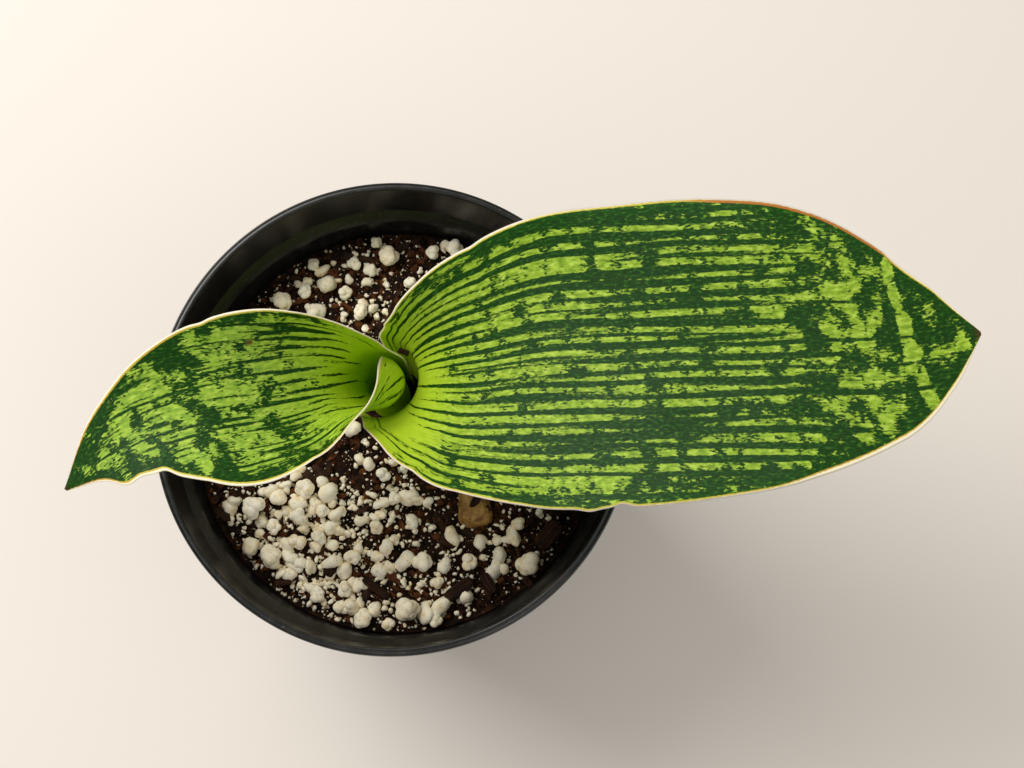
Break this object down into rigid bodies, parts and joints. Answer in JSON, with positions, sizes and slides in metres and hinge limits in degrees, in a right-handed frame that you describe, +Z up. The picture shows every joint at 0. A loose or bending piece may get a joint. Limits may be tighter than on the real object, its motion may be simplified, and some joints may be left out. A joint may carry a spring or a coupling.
{
  "type": "potted snake plant",
  "caption": "Young snake plant in a round nursery pot: a large and a small banded leaf unroll from one sheath above mix with perlite and bark.",
  "frame": {"origin": "centre of the pot's underside", "axes": "+Z up along the pot's axis; +X towards the large leaf's tip"},
  "size_m": [0.2726, 0.156, 0.2078],
  "materials": {
    "pot_plastic": "black injection-moulded plastic, satin, fine grain",
    "potting_mix": "damp peat and bark crumbs",
    "leaf_green": "waxy dark green leaf with light green bands and a cream margin",
    "rhizome_skin": "tan, pitted skin",
    "perlite": "warm white, porous",
    "bark": "dark brown, fibrous"
  },
  "bodies": {
    "root": {"pot": "pot_plastic", "soil": "potting_mix", "large_leaf": "leaf_green", "small_leaf": "leaf_green", "rhizome": "rhizome_skin", "perlite_01": "perlite", "perlite_02": "perlite", "perlite_03": "perlite", "perlite_04": "perlite", "perlite_05": "perlite", "perlite_06": "perlite", "perlite_07": "perlite", "perlite_08": "perlite", "perlite_09": "perlite", "perlite_10": "perlite", "perlite_11": "perlite", "perlite_12": "perlite", "perlite_13": "perlite", "perlite_14": "perlite", "perlite_15": "perlite", "perlite_16": "perlite", "perlite_17": "perlite", "perlite_18": "perlite", "perlite_19": "perlite", "perlite_20": "perlite", "perlite_21": "perlite", "perlite_22": "perlite", "perlite_23": "perlite", "perlite_24": "perlite", "perlite_25": "perlite", "perlite_26": "perlite", "perlite_27": "perlite", "perlite_28": "perlite", "perlite_29": "perlite", "perlite_30": "perlite", "perlite_31": "perlite", "perlite_32": "perlite", "perlite_33": "perlite", "perlite_34": "perlite", "perlite_35": "perlite", "perlite_36": "perlite", "bark_chip_01": "bark", "bark_chip_02": "bark", "bark_chip_03": "bark", "bark_chip_04": "bark", "bark_chip_05": "bark", "bark_chip_06": "bark", "bark_chip_07": "bark", "bark_chip_08": "bark", "bark_crumb": "bark"}
  },
  "joints": []
}
